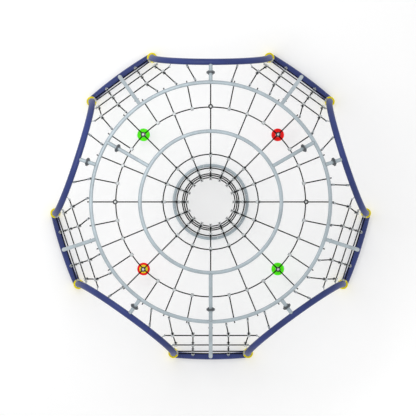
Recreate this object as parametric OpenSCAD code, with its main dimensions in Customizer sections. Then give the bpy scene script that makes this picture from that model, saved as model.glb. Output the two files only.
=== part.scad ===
// Five-sided dome climber: tube arches and rings that hold a rope net with a
// waisted rope funnel in the middle, and four swinging rope discs inside.
// Millimetres, +Z up. The origin is on the ground, on the axis of the five sides.

/* [Ground plan] */
// Radius of the circle through the ten arch legs
leg_circle_r = 2460; // [2380:10:2560]
// Angle from an arch's middle to each of its legs
leg_half_angle = 22.13; // [21.6:0.01:22.6]

/* [Arches] */
// Outer diameter of the blue tube
arch_tube_d = 101.6; // [88.9:0.1:114.3]
// Wall of the blue tube
arch_wall = 4; // [3:0.5:6]
// Height of a leg's straight part above the ground
arch_leg_h = 655; // [560:5:760]
// Lean of an arch's round top towards the middle, in degrees
arch_lean = 4.1; // [2:0.1:6]

/* [Base] */
// Distance from the axis to the middle of a base rail
rail_mid_r = 2438; // [2430:1:2450]
// Radius of the base rail's outward bow
rail_bow_r = 6160; // [4500:10:9000]
// Outer diameter of a foot socket
socket_d = 158; // [150:1:180]
// Height of a foot socket
socket_h = 180; // [150:5:260]
// Thickness of a foot socket's floor
socket_floor = 30; // [20:1:45]
// Diameter of the anchor bolt's hole in the socket floor
anchor_bore_d = 18; // [14:1:24]

/* [Rings and posts] */
// Outer diameter of the grey tube
ring_tube_d = 60.3; // [54:0.1:66]
// Wall of the grey tube
ring_wall = 3.2; // [2.5:0.1:5]
// Radius of the outer ring
outer_ring_r = 1892; // [1850:1:1930]
// Height of the outer ring
outer_ring_z = 1660; // [1600:5:1720]
// Radius of the top ring
top_ring_r = 1118; // [1060:1:1180]
// Height of the top ring
top_ring_z = 1850; // [1800:5:1900]
// Radius of the ground ring
ground_ring_r = 577; // [540:1:620]
// Outer diameter of the ground ring's tube
ground_ring_tube_d = 48.3; // [42:0.1:60.3]
// Distance from the axis to a post's upright part
post_r = 2440; // [2430:1:2450]
// Height where a post starts to bend inwards
post_bend_z = 500; // [420:5:600]

/* [Flanges] */
// Outer diameter of a flange
flange_d = 134; // [120:1:150]
// Thickness of a flange
flange_t = 12; // [8:1:16]
// Diameter of the circle through a flange's bolts
flange_pcd = 100; // [94:1:106]
// Diameter of the bolts
bolt_d = 12; // [8:1:14]
// Distance from the axis to the arch flanges
arch_flange_r = 2046; // [2025:1:2065]
// Distance from the axis to the spoke flanges
spoke_flange_r = 1698; // [1660:1:1730]

/* [Net] */
// Diameter of the ropes
rope_d = 20; // [16:0.5:22]
// Outer diameter of a holder's sleeve round a rope
sleeve_d = 34; // [30:0.5:40]
// Length of a holder's sleeve along a rope
sleeve_len = 50; // [40:1:56]
// Diameter of the clamps where two ropes cross
clamp_d = 64; // [62:1:72]
// How far the net hangs below the rings' tubes, centre to centre
net_drop = 60; // [54:1:70]
// Radius of the rope ring between the two tube rings
dome_rope_ring_r = 1498; // [1440:1:1560]

/* [Swinging discs] */
// Diameter of a disc
disc_d = 202; // [160:1:240]
// Thickness of a disc
disc_t = 40; // [30:1:60]
// Height of a disc's top face
disc_top_z = 440; // [350:5:600]
// Diameter of the small disc that sits on one of the discs
top_disc_d = 134; // [100:1:150]
// Diameter of the hinge pins
pin_d = 12; // [8:0.5:13]
// Distance between the two hinge pins of a link
link_pitch = 44; // [42:1:60]

/* [Hidden] */
SIDES = 5;
MERIDIANS = 16;
SPOKES = 3;
SIDE_STEP = 360 / SIDES;
MERIDIAN_STEP = 360 / MERIDIANS;
FIRST_ARCH = 18;
FIRST_SPOKE = 30;
FIRST_JOINT = 84;
FIRST_SWING = 45;
SWING_STEP = 90;
$fn = 48;

gap = 0.3;                     // clearance between pieces that sit together
knee = 0.1;                    // how far a tube's ball stands out at a bend
rope_knee = 0.8;               // the same for a rope, whose bends are sharper
pin_clear = 0.05;              // radial running clearance of a hinge pin
ball_turn = [30, 40, 50];        // turns the seam of a bend's ball away from the rope's own plane
small = 0.01;
stub_start = 14;               // a stub starts this far off a ring's axis

// Rope rings of the funnel from the top down, as [radius, height]
FUNNEL = [[752, 1664], [533, 1350], [416, 985], [384, 620], [444, 315]];
// Ropes across a side panel from the top down, as [distance from the axis, height]
ROWS = [[2109, 1350], [2259, 1110], [2359, 760], [2396, 400]];
// Ropes down a side panel: [angle on the outer ring, sideways place on row 1, on row 2]
DROPS = [[-20.3, -603, -550], [-10.5, -280, -280], [7.5, 280, 280], [18, 603, 550]];
// Ropes from the outer ring to an arch: [angle on the ring, sideways place on the arch]
TIES = [[-10, -447], [7.3, 411]];
LONG_DROPS = [1, 2];           // the panel ropes that go down to the base rail
// A hanging rope's route: sideways x and y in mm, then the share of its height from the top
SWING_ROUTE = [[0, 0, 0], [0, 0, 0.05], [0, 0, 0.1], [0, 0, 0.15], [0, 0, 0.2], [0, 0, 0.25],
               [0, 0, 0.3], [0, 0, 0.35], [0, 0, 0.4], [0, 0, 0.45], [0, 0, 0.5], [0, 0, 0.55],
               [0, 0, 0.6], [0, 0, 0.65], [0, 0, 0.7], [0, 0, 0.75], [0, 0, 0.8], [0, 0, 0.85],
               [0, 0, 0.9], [0, 0, 0.95], [0, 0, 1]];
SWING_SIDES = 12;

half_span = leg_circle_r * sin(leg_half_angle);
leg_dist = leg_circle_r * cos(leg_half_angle);
rail_r = arch_tube_d / 2;
rail_z = rail_r;
rail_stub_len = 50;            // straight tube between a base rail's bow and its socket
rail_half_angle = asin((half_side() - socket_d / 2 - rail_stub_len) / rail_bow_r);
rail_end = [rail_bow_r * sin(rail_half_angle), rail_mid_r - rail_bow_r * (1 - cos(rail_half_angle))];
socket_bore_d = arch_tube_d + 2 * gap;
socket_chamfer = 8;
screw_z = socket_h - 40;
screw_head_h = 8;
ring_r = ring_tube_d / 2;
ground_ring_z = ground_ring_tube_d / 2;
ring_anchor_d = 13;
ring_anchors = 8;
splice_half_angle = 3;
post_dx = post_r - outer_ring_r;
post_dz = outer_ring_z - post_bend_z;
post_top_len = 260;            // the straight top of a post, up to the ring's axis
post_bend_angle = 2 * atan(post_dx / (post_dz + post_top_len));
post_bend_r = (post_dz - post_top_len * cos(post_bend_angle)) / sin(post_bend_angle);
post_up = [-sin(post_bend_angle), cos(post_bend_angle)];
post_bolt_dist = 145;          // bolt below the ring's axis
spigot_len = 190;
spigot_d = ring_tube_d - 2 * ring_wall - 2 * gap;
nut_h = 10;
hex_af = 1.6;                  // a bolt head's width across corners, in bolt diameters
rope_web = 1.6;                // space between two ropes that cross
rope_off = rope_d + rope_web;
stem_d = 14;
clamp_plate = 6;               // thickness of a clamp's plates
clamp_near = rope_knee + 0.1;  // between a plate and the straight rope beside a bend
pillar_d = 6;
pillar_room = 6;               // between a clamp's pillars and its ropes, for their bends
pillar_r = (rope_d / 2 + pillar_d / 2 + pillar_room) * sqrt(2);
bend_room = 5;                 // room for a rope's bend under a clamp's plate
tail = 24;                     // rope beyond the middle of its last clamp
ring_tail = 58;                // rope beyond the outer ring
side_off = 60;                 // panel rope's start, outwards from the outer ring
row_end_len = 22;              // length of the sleeve on a row rope's end
row_end_room = 2;              // between that sleeve and the arch's tube
node_ring_d = 62;
node_ring_wire = 16;
ear_t = 8;
ear_r = 14;
link_w = 29;
link_gap = 0.5;                // side play of a link between the ears
clevis_drop = 48;              // pin below the rope ring's centre
hub_h = 30;
stop_h = 30;
stop_d = 44;
disc_round = 12;
top_disc_h = 34;
top_disc_round = 10;

function half_side() = leg_circle_r * sin(SIDE_STEP / 2 - leg_half_angle);
function unit(v) = v / norm(v);
function pol(r, a, z) = [r * cos(a), r * sin(a), z];
function arch_dir(i) = FIRST_ARCH + i * SIDE_STEP;
function panel_dir(i) = arch_dir(i) + SIDE_STEP / 2;

// The arch's centre line: sideways place and distance at height z
function arch_t(z) = asin(max(0, min(1, (z - arch_leg_h) / (half_span * cos(arch_lean)))));
function arch_v(t) = leg_dist - half_span * sin(arch_lean) * sin(t);
function arch_z(t) = arch_leg_h + half_span * cos(arch_lean) * sin(t);
// The same point seen from the next side panel
function panel_u(t) = arch_v(t) * sin(SIDE_STEP / 2) - half_span * cos(t) * cos(SIDE_STEP / 2);
function panel_v(t) = arch_v(t) * cos(SIDE_STEP / 2) + half_span * cos(t) * sin(SIDE_STEP / 2);
crown_r = arch_v(90);
crown_z = arch_z(90);

// Meridian ropes: each lies above and inside the rope rings
function normal2(d) = [-d[1], d[0]];
function ring_a_hold() = [outer_ring_r, outer_ring_z - net_drop];
function ring_b_hold() = [top_ring_r, top_ring_z - net_drop];
dome_dir = unit(ring_b_hold() - ring_a_hold());
function dome_point(r) = ring_a_hold() + dome_dir * (ring_a_hold()[0] - r) / -dome_dir[0];
dome_node = dome_point(dome_rope_ring_r - normal2(dome_dir)[0] * rope_off);
dome_ring = dome_node + normal2(dome_dir) * rope_off;
ground_top = [ground_ring_r, ground_ring_z];
function funnel_prev(i) = i == 0 ? ring_b_hold() : FUNNEL[i - 1];
function funnel_next(i) = i == len(FUNNEL) - 1 ? ground_top : FUNNEL[i + 1];
function funnel_normal(i) = normal2(unit(unit(FUNNEL[i] - funnel_prev(i))
                                         + unit(funnel_next(i) - FUNNEL[i])));
function funnel_node(i) = FUNNEL[i] - funnel_normal(i) * rope_off;
last_node = funnel_node(len(FUNNEL) - 1);
last_dir = unit(ground_top - last_node);
function ground_point(d) = ground_top - last_dir * d;
rope_end_d = ground_ring_tube_d / 2 + 34;
meridian = concat([ring_a_hold() - dome_dir * ring_tail, ring_b_hold()],
                  [for (i = [0:len(FUNNEL) - 1]) funnel_node(i)], [ground_point(rope_end_d)]);

function around(p, a) = pol(p[0], a, p[1]);
function side_start(a) = [outer_ring_r + side_off, outer_ring_z - 10];

// Panel ropes, in the panel's own frame [u, v, z]; the drops lie inside the rows
function drop_top(k) = let (u = outer_ring_r * sin(DROPS[k][0]), s = side_start(0))
    [u, sqrt(s[0] * s[0] - u * u), s[1]];
function row_prev(k, i) = i == 0 ? [drop_top(k)[1], drop_top(k)[2]] : ROWS[i - 1];
function row_next(i) = i == len(ROWS) - 1 ? [rail_mid_r, arch_tube_d] : ROWS[i + 1];
function row_out(k, i) = normal2(unit(unit(ROWS[i] - row_prev(k, i)) + unit(row_next(i) - ROWS[i])));
function drop_vz(k, i) = ROWS[i] - row_out(k, i) * rope_off;
function is_long(k) = len([for (j = LONG_DROPS) if (j == k) j]) > 0;
function drop_u(k, i) = i == 0 ? DROPS[k][1] : DROPS[k][2];
function drop_node(k, i) = [drop_u(k, i), drop_vz(k, i)[0], drop_vz(k, i)[1]];
rail_stand = rail_r + 38;
function rail_hold(k) = [drop_u(k, 1), rail_v(drop_u(k, 1)), rail_z];
function rail_v(u) = rail_mid_r - rail_bow_r + sqrt(rail_bow_r * rail_bow_r - u * u);
function drop_foot(k) = let (n = drop_node(k, len(ROWS) - 1), q = rail_hold(k))
    q + unit(n - q) * rail_stand;
function drop_nodes(k) = is_long(k) ? [for (i = [0:len(ROWS) - 1]) drop_node(k, i)]
                                    : [drop_node(k, 0), drop_node(k, 1)];
function drop_end(k) = let (n = drop_nodes(k), m = len(n))
    is_long(k) ? drop_foot(k) : n[m - 1] + unit(n[m - 1] - n[m - 2]) * tail;
function drop_begin(k) = let (n = drop_nodes(k)) drop_top(k) + unit(drop_top(k) - n[0]) * tail;
function drop_path(k) = concat([drop_begin(k)], drop_nodes(k), [drop_end(k)]);
function row_t(i) = arch_t(ROWS[i][1]);
// Direction of the arch's tube, in the arch's own frame and seen from the next side panel
function arch_along(t) = [-sin(t), -sin(arch_lean) * cos(t), cos(arch_lean) * cos(t)];
function panel_along(t) = let (d = arch_along(t))
    [d[1] * sin(SIDE_STEP / 2) - d[0] * cos(SIDE_STEP / 2),
     d[1] * cos(SIDE_STEP / 2) + d[0] * sin(SIDE_STEP / 2), d[2]];
function row_end_off(t) = let (c = abs(panel_along(t)[0]))
    (arch_tube_d / 2 + sleeve_d / 2 * c) / sqrt(1 - c * c) + row_end_room + row_end_len / 2;
function row_end_u(i) = panel_u(row_t(i)) - row_end_off(row_t(i));

// Ties from the outer ring to the arch, in the arch's own frame
function tie_t(k) = acos(TIES[k][1] / half_span);
function tie_hold(k) = let (t = tie_t(k)) [TIES[k][1], arch_v(t), arch_z(t)];
function tie_top(k) = let (s = side_start(0)) [s[0] * sin(TIES[k][0]), s[0] * cos(TIES[k][0]), s[1]];
function tie_foot(k) = tie_hold(k) + unit(tie_top(k) - tie_hold(k)) * (arch_tube_d / 2 + 38);
function tie_path(k) = [tie_top(k) + unit(tie_top(k) - tie_foot(k)) * tail, tie_foot(k)];

// Flanged tubes: each runs along one straight line
arch_line = [[crown_r, crown_z], [outer_ring_r, outer_ring_z]];
spoke_line = [[outer_ring_r, outer_ring_z], [top_ring_r, top_ring_z]];
function at_r(line, r) = line[0] + (line[1] - line[0]) * (r - line[0][0]) / (line[1][0] - line[0][0]);

// Swinging discs
swing_pin_z = dome_ring[1] - clevis_drop;
fork_pin_z = swing_pin_z - link_pitch;
fork_body_z = fork_pin_z - ear_r - 10;
ferrule_h = 60;
swing_rope_top = fork_body_z - ferrule_h + 44;
swing_rope_bottom = disc_top_z - disc_t - hub_h - stop_h + 4;
// Route of a swinging rope, from its fork to its stop: [x, y, z] from the pin's axis
SWINGS = ["ne", "nw", "sw", "se"];

// ---- shared shapes ----

// Stands its children on p, with +Z towards q
module aim(p, q) {
    d = q - p;
    translate(p) rotate([0, acos(d[2] / norm(d)), atan2(d[1], d[0])]) children();
}

module bar(p, q, d) { aim(p, q) cylinder(h = norm(q - p), d = d); }

// A rope along points, with a ball at each bend, joined half by half
module path_bar(points, d, from = 0, to = undef) {
    last = is_undef(to) ? len(points) - 1 : to;
    half = floor((from + last) / 2);
    if (last - from == 1) bar(points[from], points[last], d);
    else union() {
        union() path_bar(points, d, from, half);
        translate(points[half]) rotate(ball_turn) sphere(d = d + 2 * rope_knee);
        union() path_bar(points, d, half, last);
    }
}

module round_ring(r, z, d, wall, from = 0, to = 360, fine = 180) {
    translate([0, 0, z]) rotate([0, 0, from]) rotate_extrude(angle = to - from, $fn = fine)
        translate([r, 0]) difference() {
            circle(d = d);
            if (wall > 0) circle(d = d - 2 * wall);
        }
}

module hex_head(d, h) { cylinder(h = h, d = d * hex_af, $fn = 6); }

module each_side(first) { for (i = [0:SIDES - 1]) rotate([0, 0, first + i * SIDE_STEP]) children(); }

// A side's u runs anticlockwise, against x once v points along +Y
function flip_u(p) = [-p[0], p[1], p[2]];

// ---- frame ----

module arch_shape(d, low) {
    for (s = [-1, 1]) translate([s * half_span, leg_dist, low]) cylinder(h = arch_leg_h - low, d = d);
    for (s = [-1, 1]) translate([s * half_span, leg_dist, arch_leg_h]) sphere(d = d + 2 * knee);
    translate([0, leg_dist, arch_leg_h]) rotate([90 + arch_lean, 0, 0])
        rotate_extrude(angle = 180, $fn = 120) translate([half_span, 0]) circle(d = d);
}

module arch(i) {
    color([0.21, 0.26, 0.48]) rotate([0, 0, arch_dir(i) - 90]) difference() {
        arch_shape(arch_tube_d, socket_floor);
        arch_shape(arch_tube_d - 2 * arch_wall, socket_floor - 1);
    }
}

module base_rails() {
    color([0.21, 0.26, 0.48]) each_side(panel_dir(0) - 90) translate([0, rail_mid_r - rail_bow_r, 0])
        round_ring(rail_bow_r, rail_z, arch_tube_d, arch_wall,
                   90 - rail_half_angle, 90 + rail_half_angle, 720);
}

// Short straight tubes that carry a base rail on its two sockets
module rail_stubs() {
    along = [cos(rail_half_angle), -sin(rail_half_angle)];
    p = rail_end + along * gap;
    q = rail_end + along * (rail_stub_len + socket_d / 2);
    color([0.21, 0.26, 0.48]) each_side(panel_dir(0) - 90) for (s = [-1, 1]) difference() {
        bar([s * p[0], p[1], rail_z], [s * q[0], q[1], rail_z], arch_tube_d);
        bar([s * (p[0] - 1), p[1], rail_z], [s * q[0], q[1], rail_z], arch_tube_d - 2 * arch_wall);
        translate([s * half_side(), leg_circle_r * cos(SIDE_STEP / 2 - leg_half_angle), -1])
            cylinder(h = arch_tube_d + 2, d = socket_d + 2 * gap);
    }
}

module at_legs() {
    for (i = [0:SIDES - 1], s = [-1, 1])
        rotate([0, 0, arch_dir(i) + s * leg_half_angle]) translate([leg_circle_r, 0, 0]) children();
}

module foot_sockets() {
    r = socket_d / 2;
    color([1, 0.92, 0]) at_legs() difference() {
        rotate_extrude() polygon([[0, 0], [r, 0], [r, socket_h - socket_chamfer],
                                  [r - socket_chamfer, socket_h], [0, socket_h]]);
        translate([0, 0, socket_floor]) cylinder(h = socket_h, d = socket_bore_d);
        translate([0, 0, -1]) cylinder(h = socket_floor + 2, d = anchor_bore_d);
        translate([0, 0, screw_z]) rotate([0, -90, 0]) cylinder(h = r + 1, d = bolt_d + 2 * gap);
    }
}

module socket_screws() {
    color([0.3, 0.31, 0.33]) at_legs() translate([-arch_tube_d / 2 - gap, 0, screw_z])
        rotate([0, -90, 0]) {
            cylinder(h = socket_d / 2 - arch_tube_d / 2, d = bolt_d);
            translate([0, 0, socket_d / 2 - arch_tube_d / 2]) hex_head(bolt_d, screw_head_h);
        }
}

module outer_ring() {
    joint_gap = gap / outer_ring_r * 180 / PI;
    color([0.69, 0.74, 0.77]) for (i = [0:SPOKES - 1])
        round_ring(outer_ring_r, outer_ring_z, ring_tube_d, ring_wall,
                   FIRST_JOINT + i * 360 / SPOKES + joint_gap,
                   FIRST_JOINT + (i + 1) * 360 / SPOKES - joint_gap);
}

module ring_splices() {
    d = ring_tube_d - 2 * ring_wall - 2 * gap;
    color([0.5, 0.53, 0.55]) for (i = [0:SPOKES - 1])
        round_ring(outer_ring_r, outer_ring_z, d, ring_wall,
                   FIRST_JOINT + i * 360 / SPOKES - splice_half_angle,
                   FIRST_JOINT + i * 360 / SPOKES + splice_half_angle);
}

module top_ring() { color([0.69, 0.74, 0.77]) round_ring(top_ring_r, top_ring_z, ring_tube_d, ring_wall); }

module ground_ring() {
    color([0.64, 0.69, 0.71]) difference() {
        round_ring(ground_ring_r, ground_ring_z, ground_ring_tube_d, ring_wall);
        for (i = [0:ring_anchors - 1]) rotate([0, 0, (i + 0.25) * 360 / ring_anchors])
            translate([ground_ring_r, 0, -1]) cylinder(h = ground_ring_tube_d + 2, d = ring_anchor_d);
    }
}

// A straight cutter along a ring's tube where another tube meets it
module tube_notch(p, d) {
    translate([p[0], 0, p[1]]) rotate([90, 0, 0])
        cylinder(h = 3 * ring_tube_d, d = d + 4 * gap, center = true);
}

// Hollow tube between two radii on a sloping line, in the plane y = 0
module line_tube(line, r0, r1) {
    p = at_r(line, r0);
    q = at_r(line, r1);
    difference() {
        bar([p[0], 0, p[1]], [q[0], 0, q[1]], ring_tube_d);
        bar(along(p, q, -5), along(q, p, -5), ring_tube_d - 2 * ring_wall);
    }
}
function along(p, q, s) = let (d = unit(q - p)) [p[0] + d[0] * s, 0, p[1] + d[1] * s];

module arch_stubs() {
    color([0.6, 0.65, 0.68]) each_side(FIRST_ARCH) difference() {
        line_tube(arch_line, crown_r - 10, flange_back(arch_line, arch_flange_r, 1)[0]);
        tube_notch([crown_r, crown_z], arch_tube_d);
    }
}

module outer_ring_stubs() {
    color([0.6, 0.65, 0.68]) {
        each_side(FIRST_ARCH) difference() {
            line_tube(arch_line, flange_back(arch_line, arch_flange_r, -1)[0], outer_ring_r + stub_start);
            tube_notch([outer_ring_r, outer_ring_z], ring_tube_d);
        }
        for (i = [0:SPOKES - 1]) rotate([0, 0, FIRST_SPOKE + i * 360 / SPOKES]) difference() {
            line_tube(spoke_line, flange_back(spoke_line, spoke_flange_r, 1)[0], outer_ring_r - stub_start);
            tube_notch([outer_ring_r, outer_ring_z], ring_tube_d);
        }
    }
}

module spokes() {
    color([0.6, 0.65, 0.68]) for (i = [0:SPOKES - 1]) rotate([0, 0, FIRST_SPOKE + i * 360 / SPOKES])
        difference() {
            line_tube(spoke_line, top_ring_r + stub_start, flange_back(spoke_line, spoke_flange_r, -1)[0]);
            tube_notch([top_ring_r, top_ring_z], ring_tube_d);
        }
}

// Where the tube's end meets the back of a flange: side 1 is outwards, -1 inwards
function flange_back(line, r, side) = at_r(line, r)
    + unit(line[0] - line[1]) * side * (flange_t + gap / 2);

// Stands its children on the joint of a flange pair, +Z outwards along the tube
module at_flange(line, r) {
    p = at_r(line, r);
    q = p + unit(line[0] - line[1]);
    aim([p[0], 0, p[1]], [q[0], 0, q[1]]) children();
}

module at_flanges() {
    each_side(FIRST_ARCH) at_flange(arch_line, arch_flange_r) children();
    for (i = [0:SPOKES - 1]) rotate([0, 0, FIRST_SPOKE + i * 360 / SPOKES])
        at_flange(spoke_line, spoke_flange_r) children();
}

module at_bolts() { for (k = [0:3]) rotate([0, 0, 45 + 90 * k]) translate([flange_pcd / 2, 0, 0]) children(); }

module flanges() {
    color([0.24, 0.26, 0.27]) at_flanges() for (s = [gap / 2, -gap / 2 - flange_t])
        translate([0, 0, s]) difference() {
            cylinder(h = flange_t, d = flange_d);
            at_bolts() translate([0, 0, -1]) cylinder(h = flange_t + 2, d = bolt_d + 4 * gap);
        }
}

module flange_bolts() {
    color([0.45, 0.47, 0.49]) at_flanges() at_bolts() {
        translate([0, 0, flange_t + gap]) hex_head(bolt_d, nut_h);
        translate([0, 0, -flange_t - nut_h - 6]) cylinder(h = 2 * flange_t + nut_h + 6 + gap, d = bolt_d);
    }
}

module flange_nuts() {
    color([0.45, 0.47, 0.49]) at_flanges() at_bolts() translate([0, 0, -flange_t - gap - nut_h])
        difference() {
            hex_head(bolt_d, nut_h);
            translate([0, 0, -1]) cylinder(h = nut_h + 2, d = bolt_d + 2 * gap);
        }
}

// ---- posts, in the plane y = 0 ----

function post_point(d) = [outer_ring_r, outer_ring_z] - post_up * d;

module post_shape(d, low, high) {
    bend = post_point(post_top_len);
    top = post_point(high);
    translate([post_r, 0, low]) cylinder(h = post_bend_z - low, d = d);
    translate([post_r, 0, post_bend_z]) sphere(d = d + 2 * knee);
    translate([post_r - post_bend_r, 0, post_bend_z]) rotate([90, 0, 0])
        rotate_extrude(angle = post_bend_angle, $fn = 240) translate([post_bend_r, 0]) circle(d = d);
    translate([bend[0], 0, bend[1]]) sphere(d = d + 2 * knee);
    bar([bend[0], 0, bend[1]], [top[0], 0, top[1]], d);
}

// Stands its children on the side of a post's tube, at its bolt, +Z outwards
module at_post_bolt(side, out) {
    p = post_point(post_bolt_dist);
    translate([p[0], side * out, p[1]]) rotate([-side * 90, 0, 0]) children();
}

module posts() {
    color([0.6, 0.65, 0.68]) each_side(panel_dir(0)) difference() {
        post_shape(ring_tube_d, rail_z, 0);
        post_shape(ring_tube_d - 2 * ring_wall, rail_z - 1, -1);
        tube_notch([rail_mid_r, rail_z], arch_tube_d);
        tube_notch([outer_ring_r, outer_ring_z], ring_tube_d);
        at_post_bolt(1, -ring_tube_d) cylinder(h = 2 * ring_tube_d, d = bolt_d + 2 * gap);
    }
}

module post_spigots() {
    p = [outer_ring_r, outer_ring_z];
    q = post_point(spigot_len);
    color([0.5, 0.53, 0.55]) each_side(panel_dir(0)) difference() {
        bar([p[0], 0, p[1]], [q[0], 0, q[1]], spigot_d);
        tube_notch(p, ring_tube_d);
        at_post_bolt(1, -ring_tube_d) cylinder(h = 2 * ring_tube_d, d = bolt_d + 2 * gap);
    }
}

module post_bolts() {
    color([0.2, 0.21, 0.22]) each_side(panel_dir(0)) {
        at_post_bolt(1, -ring_r - nut_h - gap) cylinder(h = ring_tube_d + nut_h + 3 * gap, d = bolt_d);
        at_post_bolt(1, ring_r + gap) hex_head(bolt_d, 7);
    }
}

// ---- ropes ----

module at_meridians(odd) {
    for (i = [0:MERIDIANS - 1]) rotate([0, 0, (i + (odd ? 0.5 : 0)) * MERIDIAN_STEP]) children();
}

function in_plane(p) = [p[0], 0, p[1]];
// True where a spoke lies right over a dome rope, which then starts at the dome's rope ring
function under_spoke(a) = len([for (k = [0:SPOKES - 1])
    if (abs(a - FIRST_SPOKE - k * 360 / SPOKES) < small) k]) > 0;

module meridian_ropes() {
    color([0.07, 0.07, 0.08]) for (i = [0:MERIDIANS - 1]) let (a = i * MERIDIAN_STEP) rotate([0, 0, a])
        path_bar([for (j = [0:len(meridian) - 1])
                  in_plane(j == 0 && under_spoke(a) ? dome_node - dome_dir * tail : meridian[j])], rope_d);
}

module dome_ropes() {
    color([0.07, 0.07, 0.08]) at_meridians(true)
        bar(in_plane(meridian[0]), in_plane(dome_node + dome_dir * tail), rope_d);
}

module dome_rope_ring() { color([0.07, 0.07, 0.08]) round_ring(dome_ring[0], dome_ring[1], rope_d, 0); }

module funnel_rope_rings() {
    color([0.07, 0.07, 0.08]) for (p = FUNNEL) round_ring(p[0], p[1], rope_d, 0);
}

module each_panel() { each_side(panel_dir(0) - 90) children(); }

module panel_rows() {
    color([0.07, 0.07, 0.08]) each_panel() for (i = [0:len(ROWS) - 1])
        let (u = row_end_u(i) + row_end_len / 2 - 3) bar([-u, ROWS[i][0], ROWS[i][1]], [u, ROWS[i][0], ROWS[i][1]], rope_d);
}

module panel_drops() {
    color([0.07, 0.07, 0.08]) each_panel() for (k = [0:len(DROPS) - 1])
        path_bar([for (p = drop_path(k)) flip_u(p)], rope_d);
}

module arch_ties() {
    color([0.07, 0.07, 0.08]) each_side(FIRST_ARCH - 90) for (k = [0:len(TIES) - 1])
        bar(flip_u(tie_path(k)[0]), flip_u(tie_path(k)[1]), rope_d);
}

// ---- clamps and holders ----

// A two-rope clamp: two round plates hold the ropes that cross at p and q, joined by
// four pillars in the corners between the ropes
module cross_clamp(p, q, near = clamp_near) {
    low = -rope_d / 2 - near - clamp_plate;
    high = norm(q - p) + rope_d / 2 + gap;
    aim(p, q) {
        for (z = [low, high]) translate([0, 0, z]) cylinder(h = clamp_plate, d = clamp_d);
        for (k = [0:3]) rotate([0, 0, 45 + 90 * k]) translate([pillar_r, 0, low + clamp_plate / 2])
            cylinder(h = high - low, d = pillar_d);
    }
}

// A one-rope holder: a sleeve round the rope and a stem to a tube's axis at q
module stem_holder(p, dir, q, q_r, len = sleeve_len) {
    bar(p - dir * len / 2, p + dir * len / 2, sleeve_d);
    bar(p, p + unit(q - p) * (norm(q - p) - q_r - gap), stem_d);
}

module dome_clamp() { cross_clamp(in_plane(dome_node), in_plane(dome_ring)); }

function is_swing(a) = len([for (k = [0:3]) if (abs(a - FIRST_SWING - k * SWING_STEP) < small) k]) > 0;

module dome_clamps() {
    color([0.78, 0.8, 0.8]) for (i = [0:2 * MERIDIANS - 1])
        if (!is_swing(i * MERIDIAN_STEP / 2)) rotate([0, 0, i * MERIDIAN_STEP / 2]) dome_clamp();
}

module funnel_clamps() {
    color([0.78, 0.8, 0.8]) at_meridians(false) for (i = [0:len(FUNNEL) - 1])
        cross_clamp(in_plane(funnel_node(i)), in_plane(FUNNEL[i]));
}

module panel_clamps() {
    color([0.78, 0.8, 0.8]) each_panel() for (k = [0:len(DROPS) - 1])
        let (nodes = [for (p = drop_nodes(k)) flip_u(p)]) for (i = [0:len(nodes) - 1])
            cross_clamp(nodes[i], [nodes[i][0], ROWS[i][0], ROWS[i][1]], bend_room);
}

// The rope bends in the middle of this short sleeve, whose straight bore leaves room for it
module top_ring_holders() {
    len = 24;
    p = ring_b_hold();
    dir = unit(dome_dir + unit(funnel_node(0) - p));
    c = dir * dome_dir;
    bore_d = (rope_d + len * sqrt(1 - c * c)) / c + 2 * gap;
    color([0.6, 0.65, 0.68]) for (i = [0:MERIDIANS - 1]) let (a = i * MERIDIAN_STEP) rotate([0, 0, a])
        difference() {
            stem_holder(in_plane(p), in_plane(dir), in_plane([top_ring_r, top_ring_z]),
                        ring_r + (under_spoke(a) ? 3 : 0), len);
            bar(in_plane(p - dir * len), in_plane(p + dir * len), bore_d);
        }
}

module outer_ring_holders() {
    p = ring_a_hold();
    color([0.6, 0.65, 0.68]) for (i = [0:2 * MERIDIANS - 1]) let (a = i * MERIDIAN_STEP / 2)
        if (!under_spoke(a)) rotate([0, 0, a]) difference() {
            stem_holder(in_plane(p), in_plane(dome_dir), in_plane([outer_ring_r, outer_ring_z]), ring_r);
            bar(in_plane(p - dome_dir * 3 * tail), in_plane(p + dome_dir * 3 * tail), rope_d + 2 * gap);
        }
}

module side_holder(p, before, after) {
    q = [p[0] * outer_ring_r / norm([p[0], p[1]]), p[1] * outer_ring_r / norm([p[0], p[1]]), outer_ring_z];
    dir = unit(after - before);
    difference() {
        stem_holder(p, dir, q, ring_r);
        bar(p - dir * 3 * tail, p + dir * 3 * tail, rope_d + 2 * gap);
    }
}

module panel_holders() {
    color([0.6, 0.65, 0.68]) {
        each_panel() for (k = [0:len(DROPS) - 1])
            side_holder(flip_u(drop_top(k)), flip_u(drop_begin(k)), flip_u(drop_nodes(k)[0]));
        each_side(FIRST_ARCH - 90) for (k = [0:len(TIES) - 1])
            side_holder(flip_u(tie_top(k)), flip_u(tie_path(k)[0]), flip_u(tie_path(k)[1]));
    }
}

// Cuts a stem to the side of an arch's tube, whose axis passes q along dir
module arch_notch(q, dir) { bar(q - dir * sleeve_len, q + dir * sleeve_len, arch_tube_d + 5 * gap); }

module row_holders() {
    color([0.6, 0.65, 0.68]) each_panel() for (i = [0:len(ROWS) - 1], s = [-1, 1]) {
        t = row_t(i);
        d = panel_along(t);
        p = [s * row_end_u(i), ROWS[i][0], ROWS[i][1]];
        q = [s * panel_u(t), panel_v(t), ROWS[i][1]];
        difference() {
            stem_holder(p, [s, 0, 0], q, stem_d, row_end_len);
            arch_notch(q, [s * d[0], d[1], d[2]]);
            bar(p - [s * sleeve_len, 0, 0], p + [s * (row_end_len / 2 - 3 + gap), 0, 0], rope_d + 2 * gap);
        }
    }
}

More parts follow.
